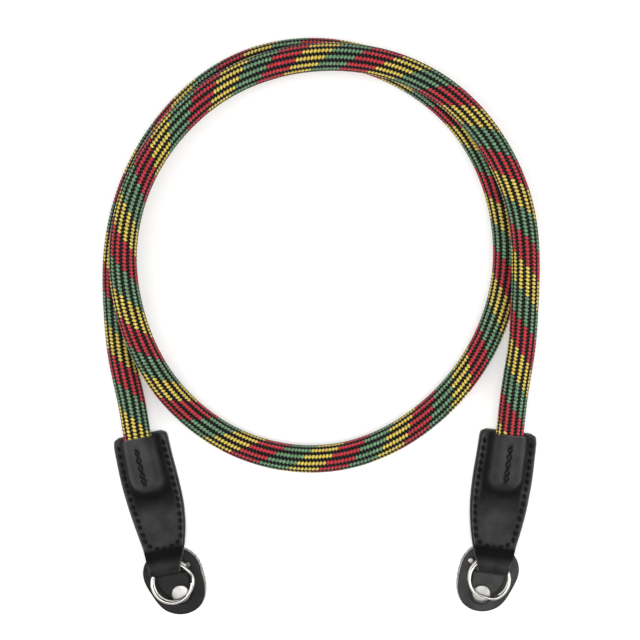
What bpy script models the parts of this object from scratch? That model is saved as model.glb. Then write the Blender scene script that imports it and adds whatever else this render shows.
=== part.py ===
"""Coiled camera strap.

A braided rope lies in a loop of about one and three quarter turns on the plane z = 0. Each of its two
ends is stitched into a folded leather end, which holds a split ring, and a leather pad lies under each
ring. Metres, +Z up. The origin is on the floor, in the middle of the two leather ends and their pads.
"""
from collections import namedtuple
from math import atan2, cos, pi, radians, sin, tan

import bmesh
import bpy
import numpy as np

# Clearance between neighbouring pieces
GAP = 0.0003

# Rope
ROPE_DIAMETER = 0.010
ROPE_POINTS = 79
ROPE_BEVEL_STEPS = 4
SPLINE_SAMPLES = 40
LOOP_CENTRE = (-0.00477, 0.09755)

# Leather ends: a folded strip with a pocket for the rope and a loop for the ring
LEFT_END_LENGTH = 0.05215
LEFT_END_WIDTH = 0.0203
RIGHT_END_LENGTH = 0.05195
RIGHT_END_WIDTH = 0.0212
LEATHER = 0.0015
MOUTH_RUN = 0.006
POCKET_SAMPLES = 1600
POCKET_STRIDE = 8
BULGE_LEAN = radians(15)
BULGE_STEPS = 6
BOW_SKEW = 2.0
RING_SLOT = 0.0030
SLOT_LENGTH = 0.0048
FOLD_WALL = 0.0014
SLOT_ROUNDING = 0.0010

# Split rings: a wire coil of two turns
RING_DIAMETER = 0.0156
WIRE = 0.0011
TURN_GAP = 0.00015
TURN_SHIFT = 0.0007
RING_POINTS_A_TURN = 34
RING_STEP = radians(40)
RING_END_GAP = radians(5)

# Pads under the rings
PAD = 0.0015
PAD_WIDTH = 0.0224
PAD_LENGTH = 0.0250
OUTLINE_STEPS = 5
SHARP_ANGLE = radians(35)

# Tongues on the pads, their rivets and the small studs
TONGUE = 0.0010
TONGUE_WIDTH = 0.0118
RIVET_HEAD = 0.0066
RIVET_HEAD_HEIGHT = 0.0008
RIVET_SHANK = 0.0030
STUD_HEAD = 0.0024
STUD_HEAD_HEIGHT = 0.0009
STUD_SHANK = 0.0013
ROUND_STEPS = 24

# The rope's own route, clockwise from the left leather end to the right one: angle about the loop's
# centre in degrees, distance from it in metres, and height of the rope's middle above the floor
RoutePoint = namedtuple("RoutePoint", "angle radius height")
ROUTE = [
    RoutePoint(234.0, 0.1014, 0.0068),
    RoutePoint(229.8, 0.0959, 0.0068),
    RoutePoint(225.3, 0.0907, 0.0067),
    RoutePoint(219.9, 0.0854, 0.0061),
    RoutePoint(210.0, 0.0795, 0.0055),
    RoutePoint(197.0, 0.0742, 0.0051),
    RoutePoint(180.0, 0.0711, 0.0051),
    RoutePoint(160.0, 0.0700, 0.0051),
    RoutePoint(136.0, 0.0709, 0.0051),
    RoutePoint(112.0, 0.0734, 0.0051),
    RoutePoint(88.0, 0.0742, 0.0051),
    RoutePoint(64.0, 0.0736, 0.0051),
    RoutePoint(40.0, 0.0729, 0.0051),
    RoutePoint(16.0, 0.0715, 0.0051),
    RoutePoint(-8.0, 0.0709, 0.0051),
    RoutePoint(-32.0, 0.0708, 0.0051),
    RoutePoint(-56.0, 0.0720, 0.0051),
    RoutePoint(-80.0, 0.0741, 0.0051),
    RoutePoint(-100.0, 0.0743, 0.0051),
    RoutePoint(-116.0, 0.0735, 0.0053),
    RoutePoint(-128.0, 0.0724, 0.0066),
    RoutePoint(-140.0, 0.0711, 0.0094),
    RoutePoint(-151.0, 0.0697, 0.0123),
    RoutePoint(-162.0, 0.0686, 0.0144),
    RoutePoint(-178.0, 0.0679, 0.0154),
    RoutePoint(-200.0, 0.0673, 0.0154),
    RoutePoint(-222.0, 0.0673, 0.0153),
    RoutePoint(-244.0, 0.0684, 0.0149),
    RoutePoint(-266.0, 0.0700, 0.0150),
    RoutePoint(-288.0, 0.0727, 0.0156),
    RoutePoint(-310.0, 0.0751, 0.0156),
    RoutePoint(-332.0, 0.0760, 0.0150),
    RoutePoint(-350.0, 0.0766, 0.0143),
    RoutePoint(-366.0, 0.0773, 0.0137),
    RoutePoint(-376.0, 0.0796, 0.0120),
    RoutePoint(-384.0, 0.0830, 0.0100),
    RoutePoint(-392.0, 0.0873, 0.0084),
    RoutePoint(-402.3, 0.0972, 0.0067),
    RoutePoint(-406.4, 0.1027, 0.0068),
    RoutePoint(-409.3, 0.1071, 0.0068),
]

# The two leather ends. side is the way that faces out of the strap's middle, mouth is where the rope
# goes in, tilt turns the end about +Z and bow is how far its middle bends inwards. ring, pad and rivet
# are the middles of those pieces, from the middle of the fold (outwards, towards the mouth). stud is the
# clearance between the leather's inner side and the stud, and how far from the fold the stud is.
# step_angle and shift_angle turn the ring's step and the offset between its two turns
End = namedtuple("End", "name side mouth tilt length width bow ring pad rivet stud step_angle shift_angle")
ENDS = [
    End("left", -1, (-0.06809, 0.03197), radians(10.71), LEFT_END_LENGTH, LEFT_END_WIDTH, 0.0017,
        (-0.0022, -0.0030), (-0.0019, -0.0033), (-0.0042, -0.0079), (0.0011, 0.0019),
        radians(15), radians(225)),
    End("right", 1, (0.06741, 0.03308), radians(-6.97), RIGHT_END_LENGTH, RIGHT_END_WIDTH, 0.0008,
        (-0.0010, -0.0021), (-0.0004, -0.0025), (-0.0029, -0.0082), (GAP, 0.0032),
        radians(-80), radians(285)),
]

# Sections of a leather end, from its mouth to its fold. along is a share of its length and width of
# its width, lift is a share of the rise over the pad, bulge of the rope's bulge, loop of the ring's
# slot, and tuck of the rounding at the fold
Section = namedtuple("Section", "along width lift bulge loop tuck")
SECTIONS = [
    Section(0.000, 0.900, 0.00, 0.99, 0.00, 0.00),
    Section(0.012, 0.955, 0.00, 1.00, 0.00, 0.00),
    Section(0.040, 0.985, 0.00, 1.00, 0.00, 0.00),
    Section(0.180, 1.000, 0.00, 1.00, 0.00, 0.00),
    Section(0.325, 1.018, 0.00, 1.00, 0.00, 0.00),
    Section(0.345, 1.018, 0.00, 0.96, 0.00, 0.00),
    Section(0.366, 1.018, 0.01, 0.82, 0.00, 0.00),
    Section(0.386, 1.016, 0.02, 0.52, 0.00, 0.00),
    Section(0.403, 1.014, 0.03, 0.20, 0.00, 0.00),
    Section(0.422, 1.010, 0.05, 0.00, 0.00, 0.00),
    Section(0.540, 0.978, 0.22, 0.00, 0.00, 0.00),
    Section(0.630, 0.925, 0.52, 0.00, 0.00, 0.00),
    Section(0.710, 0.858, 0.83, 0.00, 0.00, 0.00),
    Section(0.775, 0.792, 1.00, 0.00, 0.04, 0.00),
    Section(0.800, 0.764, 1.00, 0.00, 0.16, 0.00),
    Section(0.825, 0.735, 1.00, 0.00, 0.42, 0.00),
    Section(0.855, 0.697, 1.00, 0.00, 0.80, 0.00),
    Section(0.880, 0.664, 1.00, 0.00, 0.97, 0.00),
    Section(0.900, 0.636, 1.00, 0.00, 1.00, 0.00),
    Section(0.942, 0.580, 1.00, 0.00, 1.00, 0.00),
    Section(0.970, 0.548, 1.00, 0.00, 1.00, 0.13),
    Section(0.988, 0.522, 1.00, 0.00, 1.00, 0.40),
    Section(0.997, 0.500, 1.00, 0.00, 1.00, 0.69),
    Section(1.000, 0.480, 1.00, 0.00, 1.00, 0.86),
]

# Outline of a pad about its middle: shares of half its width (outwards) and half its length
# (towards the mouth)
OutlinePoint = namedtuple("OutlinePoint", "across along")
PAD_OUTLINE = [
    OutlinePoint(-0.06, 1.00),
    OutlinePoint(0.42, 0.90),
    OutlinePoint(0.79, 0.65),
    OutlinePoint(0.92, 0.32),
    OutlinePoint(0.76, -0.26),
    OutlinePoint(0.42, -0.78),
    OutlinePoint(-0.16, -1.00),
    OutlinePoint(-0.76, -0.83),
    OutlinePoint(-1.02, -0.40),
    OutlinePoint(-1.04, 0.12),
    OutlinePoint(-0.94, 0.54),
    OutlinePoint(-0.64, 0.86),
]

# Outer edge of a tongue, from near its straight end beside the fold down to its round end: shares of
# its width, the first outwards from the ring's centre and the second towards the mouth from the fold
TONGUE_EDGE = [
    OutlinePoint(0.50, -0.29),
    OutlinePoint(0.42, -0.49),
    OutlinePoint(0.27, -0.66),
]
TONGUE_ROUND = 0.0042
TONGUE_ROUND_START = radians(-30)
TONGUE_ROUND_TURN = radians(150)
TONGUE_ROUND_POINTS = 9

# Outline of a rivet's or stud's low dome, from its crown to its rim: shares of the head's radius and of
# its height
DOME = [(0.0, 1.0), (0.5, 0.94), (0.8, 0.75), (1.0, 0.35)]


def clear_scene():
    for scene_object in list(bpy.data.objects):
        bpy.data.objects.remove(scene_object)


def new_collection(name):
    collection = bpy.data.collections.new(name)
    bpy.context.scene.collection.children.link(collection)
    return collection


def new_material(name, colour, roughness, metallic):
    material = bpy.data.materials.new(name)
    material.use_nodes = True
    shader = material.node_tree.nodes["Principled BSDF"]
    shader.inputs["Base Color"].default_value = (*colour, 1.0)
    shader.inputs["Roughness"].default_value = roughness
    shader.inputs["Metallic"].default_value = metallic
    return material


def add_object(name, data, collection, parent=None):
    new_object = bpy.data.objects.new(name, data)
    collection.objects.link(new_object)
    new_object.parent = parent
    return new_object


def add_cutter(name, data, collection, parent=None):
    cutter = add_object(name, data, collection, parent)
    cutter.hide_render = True
    cutter.display_type = "WIRE"
    return cutter


def cut(target, cutter):
    boolean = target.modifiers.new(cutter.name, "BOOLEAN")
    boolean.operation = "DIFFERENCE"
    boolean.solver = "EXACT"
    boolean.object = cutter


def spline_slopes(places, knots):
    """Slopes at the knots of the natural cubic spline through the places."""
    count = len(knots)
    steps = np.diff(knots)
    matrix = np.zeros((count, count))
    right = np.zeros((count, places.shape[1]))
    matrix[0, :2] = (2.0, 1.0)
    matrix[-1, -2:] = (1.0, 2.0)
    right[0] = 3.0 * (places[1] - places[0]) / steps[0]
    right[-1] = 3.0 * (places[-1] - places[-2]) / steps[-1]
    for i in range(1, count - 1):
        before = steps[i - 1]
        after = steps[i]
        matrix[i, i - 1:i + 2] = (after, 2.0 * (before + after), before)
        right[i] = 3.0 * (after * (places[i] - places[i - 1]) / before
                          + before * (places[i + 1] - places[i]) / after)
    return np.linalg.solve(matrix, right)


def smooth_curve(places, count):
    """Evenly spaced points on the cubic spline through the places."""
    places = np.array(places)
    knots = np.concatenate(([0.0], np.cumsum(np.linalg.norm(np.diff(places, axis=0), axis=1))))
    slopes = spline_slopes(places, knots)

    def at(distances):
        low = np.clip(np.searchsorted(knots, distances) - 1, 0, len(knots) - 2)
        step = (knots[low + 1] - knots[low])[:, None]
        share = (distances - knots[low])[:, None] / step
        start = places[low] * (1 + 2 * share) * (1 - share) ** 2
        end = places[low + 1] * share ** 2 * (3 - 2 * share)
        leave = slopes[low] * step * share * (1 - share) ** 2
        arrive = slopes[low + 1] * step * share ** 2 * (share - 1)
        return start + end + leave + arrive

    fine = np.linspace(0.0, knots[-1], SPLINE_SAMPLES * len(places))
    along = np.concatenate(([0.0], np.cumsum(np.linalg.norm(np.diff(at(fine), axis=0), axis=1))))
    even = np.interp(np.linspace(0.0, along[-1], count), along, fine)
    return at(even)


def route_places():
    places = []
    for point in ROUTE:
        angle = radians(point.angle)
        x = LOOP_CENTRE[0] + point.radius * cos(angle)
        y = LOOP_CENTRE[1] + point.radius * sin(angle)
        places.append((x, y, point.height))
    return places


def tube_curve(name, places, radius, bevel_steps):
    curve = bpy.data.curves.new(name, "CURVE")
    curve.dimensions = "3D"
    curve.bevel_depth = radius
    curve.bevel_resolution = bevel_steps
    curve.use_fill_caps = True
    spline = curve.splines.new("POLY")
    spline.points.add(len(places) - 1)
    for point, place in zip(spline.points, places):
        point.co = (*place, 1.0)
    return curve


def outline_curve(name, corners, thickness, smooth):
    """A flat closed outline, smooth through its corners or straight between them."""
    curve = bpy.data.curves.new(name, "CURVE")
    curve.dimensions = "2D"
    curve.fill_mode = "BOTH"
    curve.extrude = thickness / 2
    curve.resolution_u = OUTLINE_STEPS
    spline = curve.splines.new("BEZIER")
    spline.bezier_points.add(len(corners) - 1)
    spline.use_cyclic_u = True
    for point, corner in zip(spline.bezier_points, corners):
        point.co = (*corner, 0.0)
        handle = "AUTO" if smooth else "VECTOR"
        point.handle_left_type = handle
        point.handle_right_type = handle
    if not smooth:
        curve.resolution_u = 1
    return curve


def curve_to_mesh(curve_object):
    """Replace a curve object by a mesh object of the same name, with its caps welded on."""
    bpy.context.view_layer.update()
    name = curve_object.name
    collection = curve_object.users_collection[0]
    parent = curve_object.parent
    evaluated = curve_object.evaluated_get(bpy.context.evaluated_depsgraph_get())
    mesh = bpy.data.meshes.new_from_object(evaluated)
    local = curve_object.matrix_local.copy()
    bpy.data.objects.remove(curve_object)
    shape = bmesh.new()
    shape.from_mesh(mesh)
    bmesh.ops.remove_doubles(shape, verts=shape.verts, dist=1e-6)
    bmesh.ops.recalc_face_normals(shape, faces=shape.faces)
    shape.to_mesh(mesh)
    shape.free()
    mesh_object = add_object(name, mesh, collection, parent)
    mesh_object.matrix_local = local
    return mesh_object


def turned_object(name, profile, collection, parent):
    """Turn a profile, which runs down its outer side, about the object's own Z axis."""
    mesh = bpy.data.meshes.new(name)
    edges = [(i, i + 1) for i in range(len(profile) - 1)]
    mesh.from_pydata([(x, 0.0, z) for x, z in profile], edges, [])
    turned = add_object(name, mesh, collection, parent)
    screw = turned.modifiers.new("turn", "SCREW")
    screw.axis = "Z"
    screw.angle = 2 * pi
    screw.steps = ROUND_STEPS
    screw.render_steps = ROUND_STEPS
    screw.use_merge_vertices = True
    screw.merge_threshold = 0.00001
    return turned


def hole_cutter(name, place, radius, height, collection, parent):
    """An upright cylinder that passes right through whatever lies between the floor and height."""
    shape = bmesh.new()
    bmesh.ops.create_cone(shape, cap_ends=True, segments=ROUND_STEPS, radius1=radius, radius2=radius,
                          depth=2 * height)
    mesh = bpy.data.meshes.new(name)
    shape.to_mesh(mesh)
    shape.free()
    cutter = add_cutter(name, mesh, collection, parent)
    cutter.location = (*place, 0.0)
    return cutter


def end_place(end, across, along):
    """A place in a leather end's own frame: across is outwards, along runs from mouth to fold."""
    return (end.side * across, -along)


def fold_place(end, across, towards_mouth):
    """A place in a leather end's own frame, given from the middle of its fold."""
    return end_place(end, across, end.length - towards_mouth)


def add_end_frame(end, collection):
    frame = add_object(end.name + "_end_frame", None, collection)
    frame.location = (*end.mouth, 0.0)
    frame.rotation_euler = (0.0, 0.0, end.tilt)
    return frame


def bow_at(end, share):
    return -end.bow * sin(pi * share ** BOW_SKEW)


def stud_place(end):
    """The stud's middle: beside the leather's inner side, from the middle of the fold."""
    clearance, towards_mouth = end.stud
    share = 1 - towards_mouth / end.length
    along = [section.along for section in SECTIONS]
    widths = [section.width for section in SECTIONS]
    side = bow_at(end, share) - float(np.interp(share, along, widths)) * end.width / 2
    return side - clearance - STUD_HEAD / 2, towards_mouth


def back_lift():
    """Height of a leather end's back over the floor, where it lies on the pad."""
    return PAD + GAP


def tongue_height():
    """Height of a tongue's underside over the floor."""
    return PAD + GAP


def rivet_seat():
    return tongue_height() + TONGUE + GAP


def rope_end_height():
    """Height of the rope's middle inside a leather end, over the leather's back."""
    return LEATHER + GAP + ROPE_DIAMETER / 2


def ring_lie():
    """Height of a ring's middle and its lean. One side is in the slot's middle, the other on the rivet."""
    slot_side = (RING_DIAMETER - WIRE) / 2
    rivet_side = RING_DIAMETER / 2 - WIRE - TURN_SHIFT / 2
    slot_height = back_lift() + LEATHER + RING_SLOT / 2
    rivet_height = rivet_seat() + RIVET_HEAD_HEIGHT + GAP + WIRE + TURN_GAP / 2
    lean = atan2(rivet_height - slot_height, slot_side + rivet_side)
    return slot_height + slot_side * tan(lean), -lean


def leather_section(end, section):
    """One closed section of a leather end, as places in its own frame, and its round side up."""
    half_width = end.width / 2 * section.width
    low = section.lift * back_lift()
    high = low + 2 * LEATHER + section.loop * RING_SLOT
    half_fold = LEATHER + RING_SLOT / 2
    low += section.tuck * half_fold
    high -= section.tuck * half_fold

    bulge_radius = ROPE_DIAMETER / 2 + GAP + LEATHER
    bulge_top = []
    lean_across = bulge_radius * cos(BULGE_LEAN)
    lean_height = rope_end_height() + bulge_radius * sin(BULGE_LEAN)
    foot = lean_across + (lean_height - 2 * LEATHER) * tan(BULGE_LEAN)
    for step in range(BULGE_STEPS + 1):
        angle = BULGE_LEAN + (pi - 2 * BULGE_LEAN) * step / BULGE_STEPS
        rise = rope_end_height() + bulge_radius * sin(angle) - 2 * LEATHER
        bulge_top.append((bulge_radius * cos(angle), high + section.bulge * rise))
    fit = min(1.0, half_width / (end.width / 2))

    outline = [(-half_width, low), (0.0, low), (half_width, low), (half_width, high)]
    outline.append((foot * fit, high))
    outline += [(across * fit, height) for across, height in bulge_top]
    outline += [(-foot * fit, high), (-half_width, high)]

    middle = bow_at(end, section.along)
    places = []
    for across, height in outline:
        places.append((*end_place(end, middle + across, section.along * end.length), height))
    return places


def leather_end(end, frame, material, parts, cutters):
    """The folded leather strip, lofted through its sections, then cut for the rope and the ring."""
    shape = bmesh.new()
    rings = []
    for section in SECTIONS:
        rings.append([shape.verts.new(place) for place in leather_section(end, section)])
    count = len(rings[0])
    for near, far in zip(rings, rings[1:]):
        for i in range(count):
            j = (i + 1) % count
            shape.faces.new((near[i], near[j], far[j], far[i]))
    shape.faces.new(rings[0])
    shape.faces.new(rings[-1])
    bmesh.ops.recalc_face_normals(shape, faces=shape.faces)
    mesh = bpy.data.meshes.new(end.name + "_leather_end")
    shape.to_mesh(mesh)
    shape.free()
    mesh.materials.append(material)
    leather = add_object(mesh.name, mesh, parts, frame)
    cut(leather, rope_pocket(end, cutters))
    cut(leather, ring_slot(end, frame, cutters))
    cut(leather, ring_path(end, frame, cutters))
    return leather


def rope_pocket(end, cutters):
    """A tube round the rope's own route, from the rope's tip to just outside the mouth."""
    places = smooth_curve(route_places(), POCKET_SAMPLES)
    if end.side > 0:
        places = places[::-1]
    outwards = (places[:, 1] - end.mouth[1]) * cos(end.tilt) - (places[:, 0] - end.mouth[0]) * sin(end.tilt)
    inside = places[:np.argmax(outwards > MOUTH_RUN) + POCKET_STRIDE:POCKET_STRIDE]
    first = inside[0] + (inside[0] - inside[1]) / np.linalg.norm(inside[0] - inside[1]) * GAP
    inside = np.vstack((first, inside[1:]))
    curve = tube_curve(end.name + "_rope_pocket", inside, ROPE_DIAMETER / 2 + GAP, ROPE_BEVEL_STEPS)
    pocket = curve_to_mesh(add_cutter(curve.name, curve, cutters))
    pocket.hide_render = True
    pocket.display_type = "WIRE"
    return pocket


def ring_slot(end, frame, cutters):
    """The loop's hollow, straight across the leather just inside the fold."""
    shape = bmesh.new()
    bmesh.ops.create_cube(shape, size=1.0)
    bmesh.ops.scale(shape, vec=(2 * end.width, SLOT_LENGTH, RING_SLOT), verts=shape.verts)
    bmesh.ops.bevel(shape, geom=shape.edges[:], offset=SLOT_ROUNDING, segments=3, profile=0.5,
                    affect="EDGES")
    mesh = bpy.data.meshes.new(end.name + "_ring_slot")
    shape.to_mesh(mesh)
    shape.free()
    slot = add_cutter(mesh.name, mesh, cutters, frame)
    middle = end.length - FOLD_WALL - SLOT_LENGTH / 2
    slot.location = (*end_place(end, 0.0, middle), back_lift() + LEATHER + RING_SLOT / 2)
    return slot


def ring_path(end, frame, cutters):
    """A flat round groove that keeps the leather clear of the ring's two turns."""
    outer = RING_DIAMETER / 2 + TURN_SHIFT / 2 + GAP
    inner = RING_DIAMETER / 2 - WIRE - TURN_SHIFT / 2 - GAP
    half = WIRE + TURN_GAP / 2 + GAP
    profile = [(inner, half), (outer, half), (outer, -half), (inner, -half), (inner, half)]
    path = turned_object(end.name + "_ring_path", profile, cutters, frame)
    path.hide_render = True
    path.display_type = "WIRE"
    path.modifiers["turn"].steps = 2 * ROUND_STEPS
    path.modifiers["turn"].render_steps = 2 * ROUND_STEPS
    height, lean = ring_lie()
    path.location = (*fold_place(end, *end.ring), height)
    path.rotation_euler = (lean, 0.0, 0.0)
    return path


def ease(share):
    share = min(max(share, 0.0), 1.0)
    return share * share * (3 - 2 * share)


def split_ring(end, frame, material, parts):
    """Two turns of wire, one on the other, that step from the lower turn to the upper one."""
    radius = (RING_DIAMETER - WIRE) / 2
    rise = WIRE + TURN_GAP
    first = end.step_angle + RING_STEP / 2 + RING_END_GAP
    last = end.step_angle + 4 * pi - RING_STEP / 2 - RING_END_GAP
    step_start = end.step_angle + 2 * pi - RING_STEP / 2
    count = round((last - first) / (2 * pi) * RING_POINTS_A_TURN)
    places = []
    for i in range(count + 1):
        angle = first + (last - first) * i / count
        level = ease((angle - step_start) / RING_STEP) - 0.5
        x = radius * cos(angle) + level * TURN_SHIFT * cos(end.shift_angle)
        y = radius * sin(angle) + level * TURN_SHIFT * sin(end.shift_angle)
        places.append((x, y, level * rise))
    curve = tube_curve(end.name + "_split_ring", places, WIRE / 2, 2)
    curve.materials.append(material)
    ring = add_object(curve.name, curve, parts, frame)
    height, lean = ring_lie()
    ring.location = (*fold_place(end, *end.ring), height)
    ring.rotation_euler = (lean, 0.0, 0.0)
    return ring


def ring_pad(end, frame, material, parts, cutters):
    corners = []
    for point in PAD_OUTLINE:
        across = end.pad[0] + point.across * PAD_WIDTH / 2
        along = end.pad[1] + point.along * PAD_LENGTH / 2
        corners.append(fold_place(end, across, along))
    curve = outline_curve(end.name + "_ring_pad", corners, PAD, True)
    curve.materials.append(material)
    pad = add_object(curve.name, curve, parts, frame)
    pad.location = (0.0, 0.0, PAD / 2)
    pad = curve_to_mesh(pad)
    for name, place, shank in (("rivet", end.rivet, RIVET_SHANK), ("stud", stud_place(end), STUD_SHANK)):
        spot = fold_place(end, *place)
        cut(pad, hole_cutter(f"{end.name}_pad_{name}_hole", spot, shank / 2 + GAP, 2 * PAD, cutters, frame))
    return pad


def pad_tongue(end, frame, material, parts, cutters):
    middle = end.ring[0]
    corners = [(middle + TONGUE_WIDTH / 2, -GAP)]
    for point in TONGUE_EDGE:
        corners.append((middle + point.across * TONGUE_WIDTH, point.along * TONGUE_WIDTH))
    for i in range(TONGUE_ROUND_POINTS):
        angle = TONGUE_ROUND_START - TONGUE_ROUND_TURN * i / (TONGUE_ROUND_POINTS - 1)
        across = end.rivet[0] + TONGUE_ROUND * cos(angle)
        along = end.rivet[1] + TONGUE_ROUND * sin(angle)
        corners.append((across, along))
    corners.append((middle - TONGUE_WIDTH / 2, -GAP))
    corners = [fold_place(end, *corner) for corner in corners]
    curve = outline_curve(end.name + "_pad_tongue", corners, TONGUE, False)
    curve.materials.append(material)
    tongue = add_object(curve.name, curve, parts, frame)
    tongue.location = (0.0, 0.0, tongue_height() + TONGUE / 2)
    tongue = curve_to_mesh(tongue)
    spot = fold_place(end, *end.rivet)
    name = end.name + "_tongue_rivet_hole"
    cut(tongue, hole_cutter(name, spot, RIVET_SHANK / 2 + GAP, 2 * rivet_seat(), cutters, frame))
    return tongue


def fastener(name, end, frame, place, seat, head, head_height, shank, material, parts):
    """A round head with a low dome on a plain shank, which ends just above the floor."""
    profile = [(across * head / 2, seat + up * head_height) for across, up in DOME]
    profile += [(head / 2, seat), (shank / 2, seat), (shank / 2, GAP), (0.0, GAP)]
    piece = turned_object(name, profile, parts, frame)
    piece.data.materials.append(material)
    piece.location = (*fold_place(end, *place), 0.0)
    return piece


def shade_round(parts):
    for part in parts.objects:
        if part.type == "MESH":
            part.data.shade_smooth()
            part.data.set_sharp_from_angle(angle=SHARP_ANGLE)


def build_strap():
    clear_scene()
    parts = new_collection("coiled_camera_strap")
    cutters = new_collection("cutters")
    braid = new_material("braided_rope", (0.30, 0.20, 0.07), 0.75, 0.0)
    black_leather = new_material("black_leather", (0.018, 0.018, 0.020), 0.45, 0.0)
    pad_leather = new_material("pad_leather", (0.035, 0.035, 0.037), 0.60, 0.0)
    steel = new_material("polished_steel", (0.80, 0.79, 0.77), 0.15, 1.0)
    nickel = new_material("brushed_nickel", (0.78, 0.76, 0.73), 0.30, 1.0)

    rope_places = smooth_curve(route_places(), ROPE_POINTS)
    rope = tube_curve("rope", rope_places, ROPE_DIAMETER / 2, ROPE_BEVEL_STEPS)
    rope.materials.append(braid)
    add_object("rope", rope, parts)

    for end in ENDS:
        frame = add_end_frame(end, parts)
        leather_end(end, frame, black_leather, parts, cutters)
        split_ring(end, frame, steel, parts)
        ring_pad(end, frame, pad_leather, parts, cutters)
        pad_tongue(end, frame, pad_leather, parts, cutters)
        fastener(end.name + "_tongue_rivet", end, frame, end.rivet, rivet_seat(), RIVET_HEAD,
                 RIVET_HEAD_HEIGHT, RIVET_SHANK, nickel, parts)
        fastener(end.name + "_pad_stud", end, frame, stud_place(end), PAD + GAP, STUD_HEAD,
                 STUD_HEAD_HEIGHT, STUD_SHANK, nickel, parts)
    shade_round(parts)


build_strap()
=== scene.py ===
"""Looks of a coiled camera strap: its braided rope, stitched leather ends, split rings and ring pads."""

from collections import namedtuple
from math import atan2, ceil, cos, pi, radians, sin, sqrt, tan

import bpy
import numpy as np
from mathutils import Matrix, Vector, noise


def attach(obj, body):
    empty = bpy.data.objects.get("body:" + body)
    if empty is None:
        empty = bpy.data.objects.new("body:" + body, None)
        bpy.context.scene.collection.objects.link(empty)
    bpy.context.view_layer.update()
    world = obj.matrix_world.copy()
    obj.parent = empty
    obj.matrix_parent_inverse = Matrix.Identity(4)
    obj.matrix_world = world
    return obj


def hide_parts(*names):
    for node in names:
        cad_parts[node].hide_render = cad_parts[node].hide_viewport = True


bl_info = {
    "name": "Camera Strap Looks",
    "version": (1, 0, 0),
    "blender": (4, 5, 0),
    "location": "View3D > Sidebar > Strap",
    "description": "Dresses a coiled rope camera strap with its braid, leather, thread and metal",
    "category": "Object",
}

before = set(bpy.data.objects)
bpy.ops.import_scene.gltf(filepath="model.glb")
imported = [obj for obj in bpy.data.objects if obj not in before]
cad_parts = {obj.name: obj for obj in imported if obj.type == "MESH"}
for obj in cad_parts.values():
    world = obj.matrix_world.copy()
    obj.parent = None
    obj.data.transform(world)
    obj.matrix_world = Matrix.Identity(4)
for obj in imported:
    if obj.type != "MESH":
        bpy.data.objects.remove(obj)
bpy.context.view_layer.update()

# The rope's own route, clockwise from the left leather end to the right one: angle about the loop's
# centre in degrees, distance from it in metres, and height of the rope's middle above the floor
LOOP_CENTRE = (-0.00477, 0.09755)
RoutePoint = namedtuple("RoutePoint", "angle radius height")
ROUTE = [RoutePoint(*row) for row in (
    (234.0, 0.1014, 0.0068), (229.8, 0.0959, 0.0068), (225.3, 0.0907, 0.0067), (219.9, 0.0854, 0.0061),
    (210.0, 0.0795, 0.0055), (197.0, 0.0742, 0.0051), (180.0, 0.0711, 0.0051), (160.0, 0.0700, 0.0051),
    (136.0, 0.0709, 0.0051), (112.0, 0.0734, 0.0051), (88.0, 0.0742, 0.0051), (64.0, 0.0736, 0.0051),
    (40.0, 0.0729, 0.0051), (16.0, 0.0715, 0.0051), (-8.0, 0.0709, 0.0051), (-32.0, 0.0708, 0.0051),
    (-56.0, 0.0720, 0.0051), (-80.0, 0.0741, 0.0051), (-100.0, 0.0743, 0.0051), (-116.0, 0.0735, 0.0053),
    (-128.0, 0.0724, 0.0066), (-140.0, 0.0711, 0.0094), (-151.0, 0.0697, 0.0123), (-162.0, 0.0686, 0.0144),
    (-178.0, 0.0679, 0.0154), (-200.0, 0.0673, 0.0154), (-222.0, 0.0673, 0.0153), (-244.0, 0.0684, 0.0149),
    (-266.0, 0.0700, 0.0150), (-288.0, 0.0727, 0.0156), (-310.0, 0.0751, 0.0156), (-332.0, 0.0760, 0.0150),
    (-350.0, 0.0766, 0.0143), (-366.0, 0.0773, 0.0137), (-376.0, 0.0796, 0.0120), (-384.0, 0.0830, 0.0100),
    (-392.0, 0.0873, 0.0084), (-402.3, 0.0972, 0.0067), (-406.4, 0.1027, 0.0068), (-409.3, 0.1071, 0.0068),
)]

# How the braid turns along the rope: distance from the left tip, how far its strands have run ahead of
# their even lay, in turns, and how far the rows of stitches have crept round, in degrees
BraidDrift = namedtuple("BraidDrift", "distance ahead creep")
BRAID_DRIFT = [
    BraidDrift(0.044, 0.080, 2.0),
    BraidDrift(0.410, -0.040, 16.0),
    BraidDrift(0.526, -0.070, 16.5),
    BraidDrift(0.654, 0.020, 21.0),
    BraidDrift(0.771, 0.047, 33.0),
]
BRAID_START = 0.342

# One wave of a strand as it goes over two strands and under two. phase is in degrees from the middle
# of its time on top, level is 1 on top and -1 underneath, width is a share of the strand's width
StrandNode = namedtuple("StrandNode", "phase level width")
COLOURED_WAVE = [
    StrandNode(-54.0, 0.55, 0.94),
    StrandNode(0.0, 1.00, 1.00),
    StrandNode(54.0, 0.55, 0.94),
    StrandNode(98.0, -1.00, 0.52),
    StrandNode(262.0, -1.00, 0.52),
]
BLACK_WAVE = [
    StrandNode(-72.0, 0.50, 0.94),
    StrandNode(0.0, 0.82, 0.98),
    StrandNode(72.0, 0.50, 0.94),
    StrandNode(126.0, -0.90, 0.66),
    StrandNode(234.0, -0.90, 0.66),
]
# How far the crowns of the stitches stand out of the rope's plain round
CROWN = 0.00011
# A strand's own section: shares of half its width and of half its thickness
STRAND_SECTION = [(-1.0, -0.15), (-0.55, 0.80), (0.55, 0.80), (1.0, -0.15), (0.0, -1.0)]

# The yarns, each with how much lighter and darker than its colour its fibres get, which is fibre tone and
# also painted highlight and shade, and its gloss
Yarn = namedtuple("Yarn", "name light dark gloss")
YARNS = [Yarn("green", 2.60, 0.26, 1.0), Yarn("red", 1.30, 0.32, 1.0), Yarn("yellow", 1.20, 0.42, 1.0)]
# The black yarn's lighter fibres are painted glints.
BLACK_YARN = Yarn("black", 3.5, 0.5, 0.35)
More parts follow.
